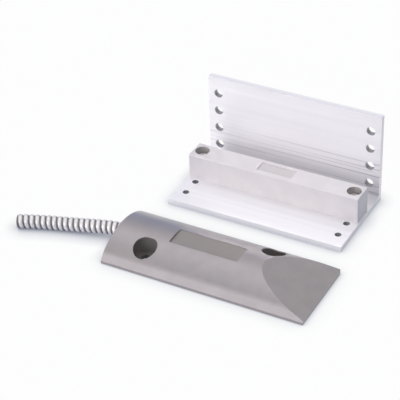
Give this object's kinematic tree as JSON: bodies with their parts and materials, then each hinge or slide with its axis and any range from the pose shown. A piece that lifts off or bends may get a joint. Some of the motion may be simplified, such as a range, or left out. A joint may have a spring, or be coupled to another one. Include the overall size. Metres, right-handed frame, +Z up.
{
  "type": "magnetic contact",
  "caption": "Magnetic contact for an overhead door: a low crowned switch housing with an armoured lead, and a magnet block screwed to an angle bracket.",
  "frame": {"origin": "on the surface that it lies on, under the middle of the switch housing and the bracket taken together", "axes": "+X along both halves, away from the lead's end of the switch; +Y from the switch to the bracket; +Z up"},
  "size_m": [0.1642, 0.1098, 0.0508],
  "materials": {
    "grey_casting": "die-cast alloy with a satin grey coat",
    "block_casting": "die-cast alloy with a satin off-white coat",
    "bracket_aluminium": "bright drawn aluminium, fine streaks along its length",
    "armor_steel": "spiral-wound galvanized steel strip",
    "potting": "black epoxy",
    "sleeve_plastic": "natural plastic",
    "capsule_glass": "clear greenish glass",
    "blade_alloy": "nickel-iron",
    "splice_metal": "tinned brass",
    "wire_insulation": "soft plastic insulation",
    "wire_copper": "bare copper",
    "jacket_plastic": "grey plastic jacket",
    "bushing_plastic": "red moulded bushing",
    "magnet_alloy": "ground cast magnet alloy",
    "screw_steel": "plated steel"
  },
  "bodies": {
    "root": {"switch_housing": "grey_casting", "switch_potting": "potting", "armor_bushing": "bushing_plastic", "armored_lead": "armor_steel", "lead_jacket": "jacket_plastic", "wire_short": "wire_insulation", "wire_long": "wire_insulation", "core_short": "wire_copper", "core_long": "wire_copper", "splice_left": "splice_metal", "splice_right": "splice_metal", "reed_sleeve": "sleeve_plastic", "reed_glass": "capsule_glass", "reed_blade_left": "blade_alloy", "reed_blade_right": "blade_alloy", "l_bracket": "bracket_aluminium", "magnet_housing": "block_casting", "magnet_potting": "potting", "bar_magnet_left": "magnet_alloy", "bar_magnet_right": "magnet_alloy", "block_screws": "screw_steel"}
  },
  "joints": []
}
